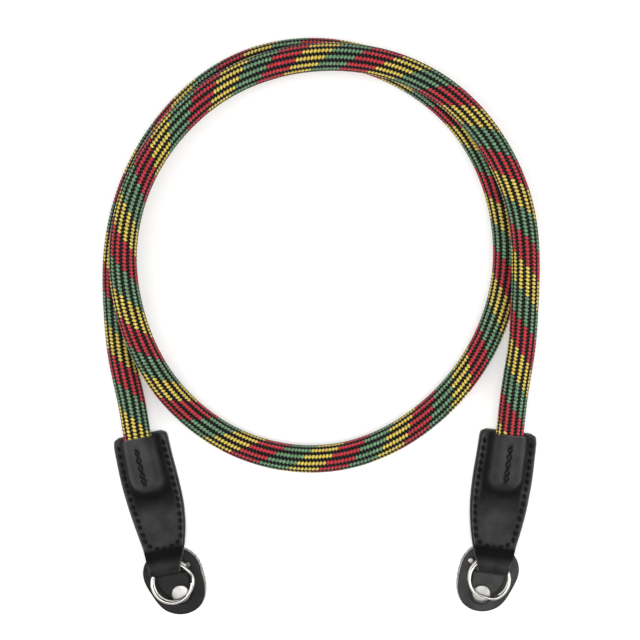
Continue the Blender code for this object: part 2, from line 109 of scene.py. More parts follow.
# Points on the rope's middle line, and on the core's
PATH_POINTS = 4000
CORE_POINTS = 170

# The two leather ends, as the frame's own leather ends lie: side is the way that faces out of the
# strap's middle, mouth is where the rope goes in, tilt turns the end and bow is how far its middle bends
# inwards. ring, pad, rivet and stud are the middles of those pieces, from the middle of the fold
# (outwards, towards the mouth). step_angle and shift_angle turn the ring's step and the offset between
# its turns, centre_seam is how far outwards the row of stitches over the rope lies, and the last, the pad's
# tone, scales the colour and shine of the pad and its tongue: painted shade below 1 and painted light above
# 1
LeatherEnd = namedtuple("LeatherEnd", "name side mouth tilt length width bow ring pad rivet stud "
                                      "step_angle shift_angle centre_seam pad_tone")
ENDS = [
    LeatherEnd("left", -1, (-0.06809, 0.03197), radians(10.71), 0.05215, 0.0203, 0.0017,
               (-0.0022, -0.0030), (-0.0019, -0.0033), (-0.0042, -0.0079), (-0.0083, 0.0019),
               radians(15), radians(225), 0.0009, 0.7),
    LeatherEnd("right", 1, (0.06741, 0.03308), radians(-6.97), 0.05195, 0.0212, 0.0008,
               (-0.0010, -0.0021), (-0.0004, -0.0025), (-0.0029, -0.0082), (-0.0080, 0.0032),
               radians(-80), radians(285), 0.0001, 1.3),
]

# Width of a leather end along its length: share of the length, share of the width
LEATHER_WIDTHS = [
    (0.000, 0.965), (0.090, 0.990), (0.180, 1.000), (0.325, 1.018), (0.422, 1.010), (0.540, 0.978),
    (0.630, 0.925), (0.710, 0.858), (0.775, 0.792), (0.825, 0.735), (0.880, 0.664), (0.942, 0.580),
    (1.000, 0.520),
]

# Outline of a pad about its middle: shares of half its width (outwards) and half its length
# (towards the mouth)
PAD_OUTLINE = [
    (-0.06, 1.00), (0.42, 0.90), (0.79, 0.65), (0.92, 0.32), (0.76, -0.26), (0.42, -0.78),
    (-0.16, -1.00), (-0.76, -0.83), (-1.02, -0.40), (-1.04, 0.12), (-0.94, 0.54), (-0.64, 0.86),
]
# Outer edge of a tongue: shares of its width, outwards from the ring's centre and towards the mouth
# from the fold
TONGUE_EDGE = [(0.50, -0.026), (0.50, -0.29), (0.42, -0.49), (0.27, -0.66)]


# Settings


def length(name, description, default):
    return bpy.props.FloatProperty(name=name, description=description, default=default, unit="LENGTH",
                                   precision=5)


def tint(name, description, default):
    return bpy.props.FloatVectorProperty(name=name, description=description, default=default,
                                         subtype="COLOR", size=3, min=0, max=1)


class StrapRopeSettings(bpy.types.PropertyGroup):
    diameter: length("Diameter", "Outer diameter of the braided rope", 0.010)
    lead: length("Lead", "Length of rope in which a strand goes once round it", 0.03141)
    strands: bpy.props.IntProperty(
        name="Strands Each Way", description="Strands that run round the rope in each direction",
        default=24)
    strand_width: length("Strand Width", "Width of a strand where it lies on top", 0.00114)
    strand_thickness: length("Strand Thickness", "Thickness of a strand", 0.00050)
    weave_depth: length("Weave Depth", "How far a strand rises and dips in the sheath", 0.00022)
    stitch_twist: length("Stitch Twist", "How far the crossings pull the stitches square", 0.00022)
    red: tint("Red Yarn", "Colour of the red strands", (0.70, 0.020, 0.036))
    yellow: tint("Yellow Yarn", "Colour of the yellow strands", (0.96, 0.66, 0.090))
    green: tint("Green Yarn", "Colour of the green strands", (0.100, 0.215, 0.104))
    black: tint("Black Yarn", "Colour of the black strands", (0.0026, 0.0026, 0.0030))


class StrapLeatherSettings(bpy.types.PropertyGroup):
    thickness: length("Thickness", "Thickness of the leather ends", 0.0015)
    over_rope: length("Over the Rope", "Radius of the rope's bulge in the front layer", 0.0060)
    back_margin: length("Back Margin", "How far the back layer shows beyond the front one", 0.0008)
    stitch_pitch: length("Stitch Pitch", "Distance between two stitches along the seam", 0.0027)
    stitch_length: length("Stitch Length", "Length of a stitch", 0.0022)
    stitch_width: length("Stitch Width", "Width of a stitch", 0.00095)
    seam_inset: length("Seam Inset", "Distance of the seam from the edge of the leather", 0.00185)
    thread: length("Thread", "Diameter of the loose thread over the rope", 0.00060)
    centre_from: length("Centre Row From", "Start of the row of stitches over the rope", 0.0044)
    centre_to: length("Centre Row To", "End of the row of stitches over the rope", 0.0187)
    centre_twists: bpy.props.FloatProperty(
        name="Centre Row Twists", description="Turns of the two strands round each other", default=3.0)
    pad_thickness: length("Pad Thickness", "Thickness of the ring pads", 0.0015)
    suede_width: length("Suede Edge", "Width of the raw edge that shows beside the pads", 0.0007)
    face: tint("Leather Face", "Colour of the finished side of the leather", (0.0205, 0.0192, 0.0196))
    pad_face: tint("Pad Face", "Colour of the pads and their tongues", (0.0170, 0.0162, 0.0158))
    edge: tint("Leather Edge", "Colour of the cut edges", (0.17, 0.165, 0.162))
    dark_edge: tint("Pad Edge", "Colour of the cut edges of pads and tongues", (0.004, 0.004, 0.0042))
    suede: tint("Suede", "Colour of the raw edge that shows beside the pads", (0.30, 0.295, 0.29))
    worn: tint("Worn Leather", "Colour of the leather where it is rubbed", (0.11, 0.106, 0.104))
    thread_colour: tint("Thread Colour", "Colour of the sewing thread", (0.0028, 0.0028, 0.003))


class StrapMetalSettings(bpy.types.PropertyGroup):
    ring_diameter: length("Ring Diameter", "Outer diameter of a split ring", 0.0156)
    wire: length("Wire", "Diameter of a split ring's wire", 0.0011)
    rivet_head: length("Rivet Head", "Diameter of the rivet's head on the tongue", 0.0066)
    stud_head: length("Stud Head", "Diameter of the small stud's head", 0.0024)
    steel: tint("Steel", "Colour of the polished rings", (0.58, 0.56, 0.53))
    nickel: tint("Nickel", "Colour of the rivets", (0.33, 0.323, 0.316))


class StrapStudioSettings(bpy.types.PropertyGroup):
    camera_height: length("Camera Height", "Height of the camera over the floor", 0.620)
    focal_length: bpy.props.FloatProperty(
        name="Focal Length", description="Focal length of the camera's lens", default=94.8,
        unit="CAMERA")
    surroundings: bpy.props.FloatProperty(
        name="Surroundings", description="Strength of the light from all round", default=0.15)
    floor_glow: bpy.props.FloatProperty(
        name="Floor Glow", description="Strength of the floor's own light", default=0.32)
    floor: tint("Floor", "Colour of the floor", (0.78, 0.78, 0.78))


# Shared helpers


def deselect_all():
    if bpy.context.object and bpy.context.object.mode != "OBJECT":
        bpy.ops.object.mode_set(mode="OBJECT")
    bpy.ops.object.select_all(action="DESELECT")


def make_active(piece):
    deselect_all()
    piece.select_set(True)
    bpy.context.view_layer.objects.active = piece


def open_edit(piece):
    """Go into edit mode with all of the piece selected."""
    make_active(piece)
    bpy.ops.object.mode_set(mode="EDIT")
    bpy.ops.mesh.select_all(action="SELECT")


def close_edit():
    bpy.ops.object.mode_set(mode="OBJECT")


def face_outwards(piece):
    open_edit(piece)
    bpy.ops.mesh.normals_make_consistent(inside=False)
    close_edit()


def apply_modifiers(piece):
    make_active(piece)
    for modifier in list(piece.modifiers):
        bpy.ops.object.modifier_apply(modifier=modifier.name)


def rename(piece, name):
    piece.name = name
    piece.data.name = name


def join_pieces(name, pieces):
    make_active(pieces[0])
    for piece in pieces:
        piece.select_set(True)
    bpy.ops.object.join()
    rename(bpy.context.object, name)
    return bpy.context.object


def shade_smooth(piece, angle):
    make_active(piece)
    bpy.ops.object.shade_smooth_by_angle(angle=angle)


def put_in_scene(name, data):
    piece = bpy.data.objects.new(name, data)
    bpy.context.scene.collection.objects.link(piece)
    return piece


def mesh_piece(name, places, faces):
    mesh = bpy.data.meshes.new(name)
    mesh.from_pydata(places, [], faces)
    mesh.update()
    return put_in_scene(name, mesh)


def round_circle(name, sides, radius, place=(0.0, 0.0, 0.0)):
    """A flat disc in edit mode, to be extruded from."""
    deselect_all()
    bpy.ops.mesh.primitive_circle_add(vertices=sides, radius=radius, location=place, fill_type="NGON")
    disc = bpy.context.object
    rename(disc, name)
    open_edit(disc)
    return disc


def raise_rim(rise):
    bpy.ops.mesh.extrude_region_move(TRANSFORM_OT_translate={"value": (0.0, 0.0, rise)})


def wire_curve(name, places, radius, bevel_steps):
    """A curve with a round section through the places."""
    curve = bpy.data.curves.new(name, "CURVE")
    curve.dimensions = "3D"
    curve.bevel_depth = radius
    curve.bevel_resolution = bevel_steps
    curve.use_fill_caps = True
    spline = curve.splines.new("POLY")
    spline.points.add(len(places) - 1)
    for point, place in zip(spline.points, places):
        point.co = (*place, 1.0)
    return put_in_scene(name, curve)


def wire_mesh(name, places, radius, bevel_steps):
    """A round wire through the places, as a closed mesh."""
    make_active(wire_curve(name, places, radius, bevel_steps))
    bpy.ops.object.convert(target="MESH")
    wire = bpy.context.object
    open_edit(wire)
    bpy.ops.mesh.remove_doubles(threshold=0.000002)
    bpy.ops.mesh.normals_make_consistent(inside=False)
    close_edit()
    wire.data.materials.clear()
    return wire


def mark_points(piece, name, values):
    attribute = piece.data.attributes.new(name, "FLOAT", "POINT")
    attribute.data.foreach_set("value", np.ravel(values))


def finish_piece(piece, slot, *nodes):
    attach(piece, "root")
    if nodes:
        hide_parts(*nodes)


def ease(share):
    share = np.clip(share, 0.0, 1.0)
    return share * share * (3 - 2 * share)


def ramp(value, start, run):
    """Smooth step from 0 at the start to 1 after the run."""
    return ease((value - start) / run)


def spline_slopes(places, knots):
    """Slopes at the knots of the natural cubic spline through the places."""
    count = len(knots)
    steps = np.diff(knots)
    matrix = np.zeros((count, count))
    right = np.zeros((count, places.shape[1]))
    matrix[0, :2] = (2.0, 1.0)
    matrix[-1, -2:] = (1.0, 2.0)
    right[0] = 3.0 * (places[1] - places[0]) / steps[0]
    right[-1] = 3.0 * (places[-1] - places[-2]) / steps[-1]
    for i in range(1, count - 1):
        before = steps[i - 1]
        after = steps[i]
        matrix[i, i - 1:i + 2] = (after, 2.0 * (before + after), before)
        right[i] = 3.0 * (after * (places[i] - places[i - 1]) / before
                          + before * (places[i + 1] - places[i]) / after)
    return np.linalg.solve(matrix, right)


def spline_at(places, knots, slopes, distances):
    low = np.clip(np.searchsorted(knots, distances) - 1, 0, len(knots) - 2)
    step = (knots[low + 1] - knots[low])[:, None]
    share = (distances - knots[low])[:, None] / step
    start = places[low] * (1 + 2 * share) * (1 - share) ** 2
    end = places[low + 1] * share ** 2 * (3 - 2 * share)
    leave = slopes[low] * step * share * (1 - share) ** 2
    arrive = slopes[low + 1] * step * share ** 2 * (share - 1)
    return start + end + leave + arrive


def smooth_curve(places, count):
    """Evenly spaced points on the cubic spline through the places."""
    places = np.array(places, dtype=float)
    knots = lengths_along(places)
    slopes = spline_slopes(places, knots)
    fine = np.linspace(0.0, knots[-1], 40 * len(places))
    along = lengths_along(spline_at(places, knots, slopes, fine))
    even = np.interp(np.linspace(0.0, along[-1], count), along, fine)
    return spline_at(places, knots, slopes, even)


def lengths_along(places):
    return np.concatenate(([0.0], np.cumsum(np.linalg.norm(np.diff(places, axis=0), axis=1))))


def table_at(pairs, at):
    """A smooth value between the pairs of a table."""
    pairs = np.array(pairs, dtype=float)
    slopes = spline_slopes(pairs[:, 1:], pairs[:, 0])
    return spline_at(pairs[:, 1:], pairs[:, 0], slopes, np.atleast_1d(at))[:, 0]


def unit(rows):
    return rows / np.linalg.norm(rows, axis=1)[:, None]


def smoothed(values, reach, **padding):
    """Values smoothed over a bell that reaches so many steps each way."""
    bell = np.hanning(2 * reach + 1)
    padded = np.pad(values, reach, **(padding or {"mode": "edge"}))
    return np.convolve(padded, bell / bell.sum(), mode="valid")


# Materials


def shade(colour, share):
    return tuple(min(1.0, value * share) for value in colour)


class Look:
    """A procedural material, with short ways to add the nodes that feed its shader."""

    def __init__(self, name, colour, roughness, metallic=0.0):
        self.material = bpy.data.materials.new(name)
        self.material.use_nodes = True
        self.shader = self.material.node_tree.nodes["Principled BSDF"]
        self.set("Base Color", (*colour, 1.0))
        self.set("Roughness", roughness)
        self.set("Metallic", metallic)

    def set(self, socket, value):
        self.shader.inputs[socket].default_value = value

    def node(self, kind, **values):
        node = self.material.node_tree.nodes.new(kind)
        for name, value in values.items():
            setattr(node, name, value)
        return node

    def link(self, source, target):
        self.material.node_tree.links.new(source, target)

    def drive(self, socket, source):
        self.link(source, self.shader.inputs[socket])

    def attribute(self, name):
        return self.node("ShaderNodeAttribute", attribute_name=name).outputs["Fac"]

    def noise(self, scale, detail=2.0, roughness=0.5, place=None, stretch=None):
        """Noise in the object's own coordinates, or at another place."""
        if place is None:
            place = self.node("ShaderNodeTexCoord").outputs["Object"]
        if stretch:
            mapping = self.node("ShaderNodeMapping")
            mapping.inputs["Scale"].default_value = stretch
            self.link(place, mapping.inputs["Vector"])
            place = mapping.outputs["Vector"]
        texture = self.node("ShaderNodeTexNoise")
        for name, value in (("Scale", scale), ("Detail", detail), ("Roughness", roughness)):
            texture.inputs[name].default_value = value
        self.link(place, texture.inputs["Vector"])
        return texture.outputs["Fac"]

    def spread(self, factor, start, end, low=0.0, high=1.0):
        """Spread a factor's range from start to end over the one from low to high."""
        spread = self.node("ShaderNodeMapRange")
        for name, value in (("From Min", start), ("From Max", end), ("To Min", low), ("To Max", high)):
            spread.inputs[name].default_value = value
        self.link(factor, spread.inputs["Value"])
        return spread.outputs["Result"]

    def mix_values(self, factor, first, second):
        """Value that goes from a socket's to a plain one with the factor."""
        mix = self.node("ShaderNodeMix")
        self.link(factor, mix.inputs["Factor"])
        self.link(first, mix.inputs["A"])
        mix.inputs["B"].default_value = second
        return mix.outputs["Result"]

    def blend(self, factor, first, second):
        """Colour that goes from first to second with the factor. Each is a colour or a socket."""
        mix = self.node("ShaderNodeMix", data_type="RGBA")
        self.link(factor, mix.inputs["Factor"])
        for socket, colour in ((mix.inputs[6], first), (mix.inputs[7], second)):
            if isinstance(colour, bpy.types.NodeSocket):
                self.link(colour, socket)
            else:
                socket.default_value = (*colour, 1.0)
        return mix.outputs[2]

    def bump(self, height, strength, distance, below=None):
        bump = self.node("ShaderNodeBump")
        bump.inputs["Strength"].default_value = strength
        bump.inputs["Distance"].default_value = distance
        self.link(height, bump.inputs["Height"])
        if below is not None:
            self.link(below, bump.inputs["Normal"])
        self.drive("Normal", bump.outputs["Normal"])
        return bump.outputs["Normal"]


def yarn_material(name, colour, light, dark, gloss=1.0):
    """Braided yarn: fine fibres along each strand in lighter and darker tones, which are fibre tone and also
    painted highlight and shade, with duller patches.
    """
    look = Look(name, colour, 0.70)
    look.set("Specular IOR Level", 0.30 * gloss)
    look.set("Sheen Weight", 0.30 * gloss)
    look.set("Sheen Roughness", 0.5)
    run = look.node("ShaderNodeUVMap", uv_map="run").outputs["UV"]
    fibres = look.noise(1.0, 3.0, 0.6, run, stretch=(9.0, 1.1, 1.0))
    patches = look.noise(900.0, 1.0)
    # Lighter and darker tones along the fibres: painted highlight and shade, set to the stitches' highlights
    # and shaded sides.
    toned = look.blend(look.spread(fibres, 0.3, 0.7), shade(colour, dark), shade(colour, light))
    patched = look.blend(look.spread(patches, 0.35, 0.7, 0.0, 0.35), toned, shade(colour, dark))
    look.drive("Base Color", patched)
    look.bump(fibres, 0.5, 0.00006)
    return look.material


def leather_material(name, colour, roughness, worn, shine=0.14):
    """Smooth finished leather: fine grain, soft cloudy patches, paler worn edges with a painted highlight, a
    paler crown, painted shade in dents, furrow, neck and hollows, and a darker rim band of edge paint, on
    the tongues also painted shadow.
    """
    look = Look(name, colour, roughness)
    look.set("Specular IOR Level", shine)
    grain = look.noise(2600.0, 2.0, 0.6)
    clouds = look.noise(140.0, 3.0)
    pores = look.noise(900.0, 3.0, 0.65)
    base = look.blend(look.spread(clouds, 0.35, 0.65), shade(colour, 0.55), shade(colour, 1.45))
    # Paler on the outer rows, as worn leather with a painted highlight, and on the bulge's crown.
    rubbed = look.blend(look.attribute("rubbed"), base, worn)
    # Painted shade: the colour darkens to 0.15 of itself where the points carry painted shade.
    dark = look.blend(look.attribute("sewn"), rubbed, shade(colour, 0.15))
    # A darker band along the rims of pads and tongues: edge paint, and on the tongues also painted shadow.
    look.drive("Base Color", look.blend(look.attribute("rim"), dark, shade(colour, 0.12)))
    gloss = look.spread(pores, 0.3, 0.7, roughness - 0.06, roughness + 0.12)
    # The leather is also rougher where the painted shade lies.
    look.drive("Roughness", look.mix_values(look.attribute("sewn"), gloss, 1.0))
    first = look.bump(pores, 0.40, 0.00010)
    look.bump(grain, 0.35, 0.00005, below=first)
    return look.material


def raw_edge_material(name, colour):
    """Cut leather edge: short pale fibres over a darker core."""
    look = Look(name, colour, 0.9)
    fibres = look.noise(3500.0, 4.0, 0.7)
    clouds = look.noise(600.0, 2.0)
    tone = look.blend(look.spread(fibres, 0.35, 0.68), shade(colour, 0.40), shade(colour, 2.0))
    look.drive("Base Color", look.blend(look.spread(clouds, 0.4, 0.7, 0.0, 0.6), tone, shade(colour, 0.45)))
    look.bump(fibres, 0.7, 0.00015)
    return look.material


def thread_material(name, colour):
    """Black sewing thread."""
    look = Look(name, colour, 0.75)
    look.set("Specular IOR Level", 0.15)
    fibres = look.noise(3200.0, 2.0)
    tone = look.blend(look.spread(fibres, 0.4, 0.65), shade(colour, 0.6), shade(colour, 3.0))
    look.drive("Base Color", tone)
    look.bump(fibres, 0.5, 0.00010)
    return look.material


def metal_material(name, colour, roughness, scratches):
    """Plated metal with faint scratches."""
    look = Look(name, colour, roughness, 1.0)
    marks = look.noise(500.0, 3.0, 0.7, stretch=(1.0, 7.0, 1.0))
    smears = look.noise(260.0, 2.0)
    look.drive("Roughness", look.spread(smears, 0.35, 0.65, roughness * 0.75, roughness * 1.4))
    look.bump(marks, scratches, 0.00002)
    return look.material


# Rope


def route_places():
    return [(LOOP_CENTRE[0] + point.radius * cos(radians(point.angle)),
             LOOP_CENTRE[1] + point.radius * sin(radians(point.angle)), point.height) for point in ROUTE]


class RopePath:
    """The rope's middle line, with its upward and outward directions at any distance along it."""

    def __init__(self):
        self.places = smooth_curve(route_places(), PATH_POINTS)
        self.along = lengths_along(self.places)
        self.length = self.along[-1]
        tangents = unit(np.gradient(self.places, axis=0))
        self.outwards = unit(np.cross((0.0, 0.0, 1.0), tangents))
        self.upwards = np.cross(tangents, self.outwards)

    def read(self, values, distances):
        return np.stack([np.interp(distances, self.along, values[:, i]) for i in range(3)], axis=1)

    def around(self, distances, angles, radii):
        """Places round the rope: angle 0 is upwards, and it grows outwards."""
        up = self.read(self.upwards, distances)
        out = self.read(self.outwards, distances)
        directions = np.cos(angles)[:, None] * up + np.sin(angles)[:, None] * out
        return self.read(self.places, distances) + radii[:, None] * directions, directions


def braid_turns(path, lead):
    """How far the strands have turned, and the turn of the rows of stitches, at points along the rope."""
    at = np.linspace(-0.003, path.length + 0.003, 6000)
    distances, ahead, creep = np.array(BRAID_DRIFT).T
    ahead, creep = (smoothed(np.interp(at, distances, values), 200) for values in (ahead, np.radians(creep)))
    return at, 2 * pi * (at / lead + BRAID_START - ahead), creep


def strand_line(path, turns, settings, number, coloured):
    """Places, radial directions and widths of one strand from the rope's one tip to the other."""
    at, turned, creep = turns
    if coloured:
        angle = turned - 2 * pi * (number + 0.5) / settings.strands
        wave, rise, top = COLOURED_WAVE, 1.0, 0.0
    else:
        angle = 2 * creep - turned + 2 * pi * number / settings.strands
        wave, rise, top = BLACK_WAVE, -1.0, pi
    phases = settings.strands // 2 * rise * (angle - creep)
    first = ceil((phases[0] - top) / (2 * pi)) - 1
    last = int((phases[-1] - top) / (2 * pi)) + 2
    nodes = np.array([(top + 2 * pi * period + radians(node.phase), node.level, node.width)
                      for period in range(first, last) for node in wave])
    nodes = nodes[np.argsort(nodes[:, 0])]
    inside = (nodes[:, 0] > phases[0]) & (nodes[:, 0] < phases[-1])
    wanted, levels, widths = nodes[inside].T

    distances = np.interp(wanted, phases, at)
    angles = np.interp(distances, at, angle)
    distances = distances - settings.stitch_twist * np.sin(wanted) * rise
    keep = (distances > 0.0) & (distances < path.length)
    radius = settings.diameter / 2 + CROWN - settings.strand_thickness / 2 - settings.weave_depth
    radii = radius + settings.weave_depth * levels
    places, directions = path.around(distances[keep], angles[keep], radii[keep])
    return places, directions, widths[keep]


def strand_tubes(name, lines, settings):
    """One mesh of closed strands, each with a UV map that runs along it in strand widths."""
    section = np.array(STRAND_SECTION)
    sides = len(section)
    side = np.arange(sides)[None, :]
    next_side = (side + 1) % sides
    vertices = []
    quads = []
    runs = []
    caps = []
    start = 0
    for places, directions, widths in lines:
        tangents = unit(np.gradient(places, axis=0))
        across = unit(np.cross(tangents, directions))
        normals = np.cross(across, tangents)
        half_widths = widths[:, None, None] * settings.strand_width / 2
        half_thickness = settings.strand_thickness / 2
        rings = (places[:, None, :] + across[:, None, :] * section[None, :, 0:1] * half_widths
                 + normals[:, None, :] * section[None, :, 1:2] * half_thickness)
        vertices.append(rings.reshape(-1, 3))
        ring = start + np.arange(len(places) - 1)[:, None] * sides
        corners = (ring + side, ring + next_side, ring + sides + next_side, ring + sides + side)
        quads.append(np.stack(corners, axis=2).reshape(-1, 4))
        run = lengths_along(places)[:, None] / settings.strand_width
        corners = ((0, run[:-1]), (1, run[:-1]), (1, run[1:]), (0, run[1:]))
        corners = [np.stack(np.broadcast_arrays((side + step) / sides, at), axis=2)
                   for step, at in corners]
        runs.append(np.stack(corners, axis=2).reshape(-1, 2))
        last = start + (len(places) - 1) * sides
        caps += [np.arange(start, start + sides)[::-1], np.arange(last, last + sides)]
        start += len(places) * sides
    quads = np.concatenate(quads)
    piece = mesh_piece(name, np.concatenate(vertices), quads.tolist() + np.array(caps).tolist())
    uv_map = piece.data.uv_layers.new(name="run")
    cap_runs = np.zeros((len(caps) * sides, 2))
    uv_map.data.foreach_set("uv", np.concatenate(runs + [cap_runs]).ravel())
    return piece


class STRAP_OT_rope(bpy.types.Operator):
    """Braid the rope: a black core, black strands one way and red, yellow and green the other"""
    bl_idname = "strap.rope"
    bl_label = "Braided Rope"

    def execute(self, context):
        settings = context.scene.strap_rope
        path = RopePath()
        turns = braid_turns(path, settings.lead)
        third = settings.strands // 3
        half = settings.strands // 2
        strands = []

        def braid(name, numbers, yarn, coloured):
            lines = [strand_line(path, turns, settings, number, coloured) for number in numbers]
            piece = strand_tubes(name + "_strands", lines, settings)
            piece.data.materials.append(yarn)
            strands.append(piece)

        for group, yarn in enumerate(YARNS):
            material = yarn_material(yarn.name + "_yarn", tuple(getattr(settings, yarn.name)), *yarn[1:])
            braid(yarn.name, range(group * third, (group + 1) * third), material, True)
        black = yarn_material(BLACK_YARN.name + "_yarn", tuple(settings.black), *BLACK_YARN[1:])
        braid("inner_black", range(half), black, False)
        braid("outer_black", range(half, settings.strands), black, False)
        for piece in strands:
            piece.data.shade_smooth()
            finish_piece(piece, "braided_rope")

        inside = settings.diameter / 2 - settings.strand_thickness - 1.6 * settings.weave_depth
        core = wire_curve("rope_core", smooth_curve(route_places(), CORE_POINTS), inside, 4)
        core.data.materials.append(Look("rope_core", (0.006, 0.006, 0.007), 0.85).material)
        finish_piece(core, "braided_rope", "rope")
        return {"FINISHED"}


# Leather ends


BOW_SKEW = 2.0
PAD_RISE = 0.0018
SLOT = 0.0030
CORNER = 0.0020
FRONT_MOUTH = 0.0009
# The grid that a leather end is made of
COLUMNS = 61
ROW_STEP = 0.00036
BACK_ROWS = 60
FOLD_STEPS = 16
# Where a leather end rises on to the pad and opens into its loop, where the back's margin ends, and where
# the painted shade on the neck starts and ends: start and run, as shares of its length
PAD_RAMP = (0.43, 0.345)
LOOP_RAMP = (0.78, 0.13)
MARGIN_RAMP = (0.80, 0.14)
NECK_START = (0.805, 0.020)
NECK_END = (0.868, 0.080)
# The rope's bulge in the front layer: the height of the rope's middle, how far the flanks lean, and the
# bulge's rounded far end
ROPE_MIDDLE = 0.0068
BULGE_LEAN = radians(22)
BULGE_STEPS = 16
BULGE_SAMPLES = 801
BULGE_END = 0.0181
BULGE_END_ROUNDING = 0.0022
BULGE_HALF_WIDTH = 0.0065
BULGE_END_RUN = 0.0080
BULGE_END_POWER = 1.4
# The painted shade in the hollow beside the bulge: its outer side, its foot as a share of the bulge's
# height, its far end
HOLLOW_SIDE = (0.0066, 0.0016)
HOLLOW_FOOT = (0.25, 0.50)
HOLLOW_END = (0.0215, 0.0100)
# Radius and depth of the dents at stitches, in the furrow over the rope and along the edges
STITCH_DENT = (0.00080, 0.00022)
FURROW = (0.00075, 0.00028)
EDGE_DENT = (0.00045, 0.00020)
# How far before the row of stitches the furrow starts, and the length over which it fades
FURROW_LEAD = 0.0010
FURROW_RUN = 0.0012
# How far the leather's face rises and dips by itself
UNEVENNESS = 0.00013
# How much painted shade furrow, neck and hollow get, how much paler the bulge's crown is, and how much paler
# the two outer rows are: worn leather with a painted highlight
FURROW_PAINTED_SHADE = 0.40
NECK_PAINTED_SHADE = 0.95
HOLLOW_PAINTED_SHADE = 0.85
CROWN_LIGHTENING = 0.13
EDGE_WEAR_AND_PAINTED_HIGHLIGHT = (0.8, 0.25)
# The seam: where it starts, where its sides turn in, and how far down it goes
SEAM_START = 0.0030
SEAM_TURN = 0.0375
SEAM_LOWEST = 0.0425
SEAM_STEPS = 16
SEAM_SIDE_POINTS = 30
# How far a stitch strays and slants, over which distance its direction is read, and how far stitches
# and the loose thread lie over the leather
STITCH_WANDER = 0.00015
STITCH_SLANT = radians(-22)
STITCH_REACH = 0.0006
STITCH_LIFT = 0.00008
THREAD_LIFT = 0.00005
THREAD_STEPS = 72
# The gap between the two layers of leather
LAYER_GAP = 0.00015


def end_matrix(end):
    """From a leather end's own frame (across, along, up) to the strap's frame."""
    flip = Matrix.Diagonal((end.side, -1, 1, 1))
    return Matrix.Translation((*end.mouth, 0.0)) @ Matrix.Rotation(end.tilt, 4, "Z") @ flip


def fold_place(end, place, height=0.0):
    """A place given from the middle of the fold (outwards, towards the mouth), in the strap's frame."""
    return end_matrix(end) @ Vector((place[0], end.length - place[1], height))


def bow_at(end, along):
    return -end.bow * sin(pi * min(max(along / end.length, 0.0), 1.0) ** BOW_SKEW)


def half_width(end, along):
    share = min(max(along / end.length, 0.0), 1.0)
    wide = end.width / 2 * float(table_at(LEATHER_WIDTHS, share)[0])
    from_mouth = max(along - FRONT_MOUTH, 0.0)
    if from_mouth < CORNER:
        wide -= CORNER - sqrt(CORNER ** 2 - (CORNER - from_mouth) ** 2)
    return wide


def lift_at(share):
    return float(ramp(share, *PAD_RAMP)) * PAD_RISE


def bulge_section(end, settings):
    """Across and height of the front layer over its flat face, at even steps over the rope's bulge."""
    radius = settings.over_rope
    middle = ROPE_MIDDLE - 2 * settings.thickness
    foot = radius * cos(BULGE_LEAN) + (middle + radius * sin(BULGE_LEAN)) * tan(BULGE_LEAN)
    angles = [pi - BULGE_LEAN - (pi - 2 * BULGE_LEAN) * step / BULGE_STEPS
              for step in range(BULGE_STEPS + 1)]
    crown = [(radius * cos(angle), middle + radius * sin(angle)) for angle in angles]
    corners = np.array([(-end.width / 2, 0.0), (-foot, 0.0), *crown, (foot, 0.0), (end.width / 2, 0.0)])
    reach = lengths_along(corners)
    fine = np.linspace(0.0, reach[-1], BULGE_SAMPLES)
    even = np.linspace(0.0, BULGE_SAMPLES - 1.0, COLUMNS)
    return [np.interp(even, np.arange(BULGE_SAMPLES),
                      smoothed(np.interp(fine, reach, values), 45, mode="reflect", reflect_type="odd"))
            for values in corners.T]


def bulge_share(along, across):
    """How much of the rope's bulge is left at a place, with a rounded far end."""
    start = BULGE_END - BULGE_END_ROUNDING * np.clip(np.abs(across) / BULGE_HALF_WIDTH, 0.0, 1.0) ** 2
    return (1.0 - ramp(along, start, BULGE_END_RUN)) ** BULGE_END_POWER


def seam_path(end, settings):
    """The U-shaped seam in the leather end's own frame, as across and along."""
    sides = [(half_width(end, along) - settings.seam_inset, along)
             for along in np.linspace(SEAM_START, SEAM_TURN, SEAM_SIDE_POINTS)]
    path = [(-across, along) for across, along in sides]
    for step in range(1, SEAM_STEPS):
        angle = pi * step / SEAM_STEPS
        across = -sides[-1][0] * abs(cos(angle)) ** 0.85 * (1 if cos(angle) > 0 else -1)
        path.append((across, SEAM_TURN + (SEAM_LOWEST - SEAM_TURN) * sin(angle) ** 0.9))
    path += reversed(sides)
    return np.array([(across + bow_at(end, along), along) for across, along in path])


def seam_stitches(end, settings):
    """Middle and direction of each stitch of the seam, with the unevenness of hand stitching."""
    path = seam_path(end, settings)
    along = lengths_along(path)
    count = round(along[-1] / settings.stitch_pitch)
    stitches = []
    for i in range(count):
        distance = (i + 0.5) * along[-1] / count
        distance += 0.15 * settings.stitch_pitch * noise.noise((i * 0.9, end.side * 3.0, 0.5))
        here, ahead = (np.array([np.interp(distance + step, along, path[:, k]) for k in range(2)])
                       for step in (0.0, STITCH_REACH))
        run = (ahead - here) / np.linalg.norm(ahead - here)
        wander = (noise.noise((i * 1.3, 2.0, end.side)), noise.noise((i * 1.7, 7.0, end.side)))
        stitches.append((here + STITCH_WANDER * np.array(wander), run))
    return stitches


def nearness(across, along, spots, size):
    """How near places are to the closest of the spots: 1 on it, and 0 well away."""
    away = np.hypot(across[:, None] - spots[None, :, 0], along - spots[None, :, 1])
    return np.exp(-(away.min(axis=1) / size) ** 2)


